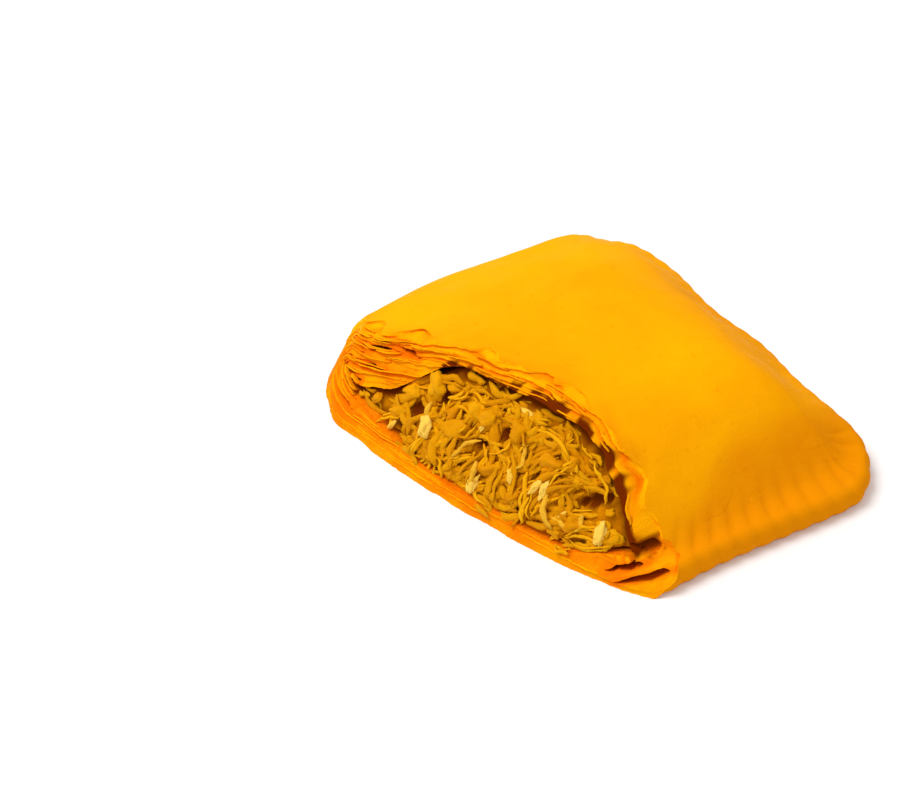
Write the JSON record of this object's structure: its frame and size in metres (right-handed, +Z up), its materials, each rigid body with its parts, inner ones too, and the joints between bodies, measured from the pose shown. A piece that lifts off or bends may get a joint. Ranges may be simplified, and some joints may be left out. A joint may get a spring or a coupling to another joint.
{
  "type": "jamaican patty",
  "caption": "Half of a yellow flaky turnover, cut across to show its shredded meat filling, with a fork-crimped front, a crimped end and a folded back.",
  "frame": {"origin": "centre of the patty half's box, on its flat base", "axes": "+Z up, +Y from the crimped front towards the fold, -X towards the cut face"},
  "size_m": [0.0942, 0.1056, 0.0293],
  "materials": {
    "crust": "baked yellow flaky pastry, soft sheen",
    "filling": "moist shredded meat"
  },
  "bodies": {
    "root": {"pastry_crust": "crust", "meat_filling": "filling"}
  },
  "joints": []
}
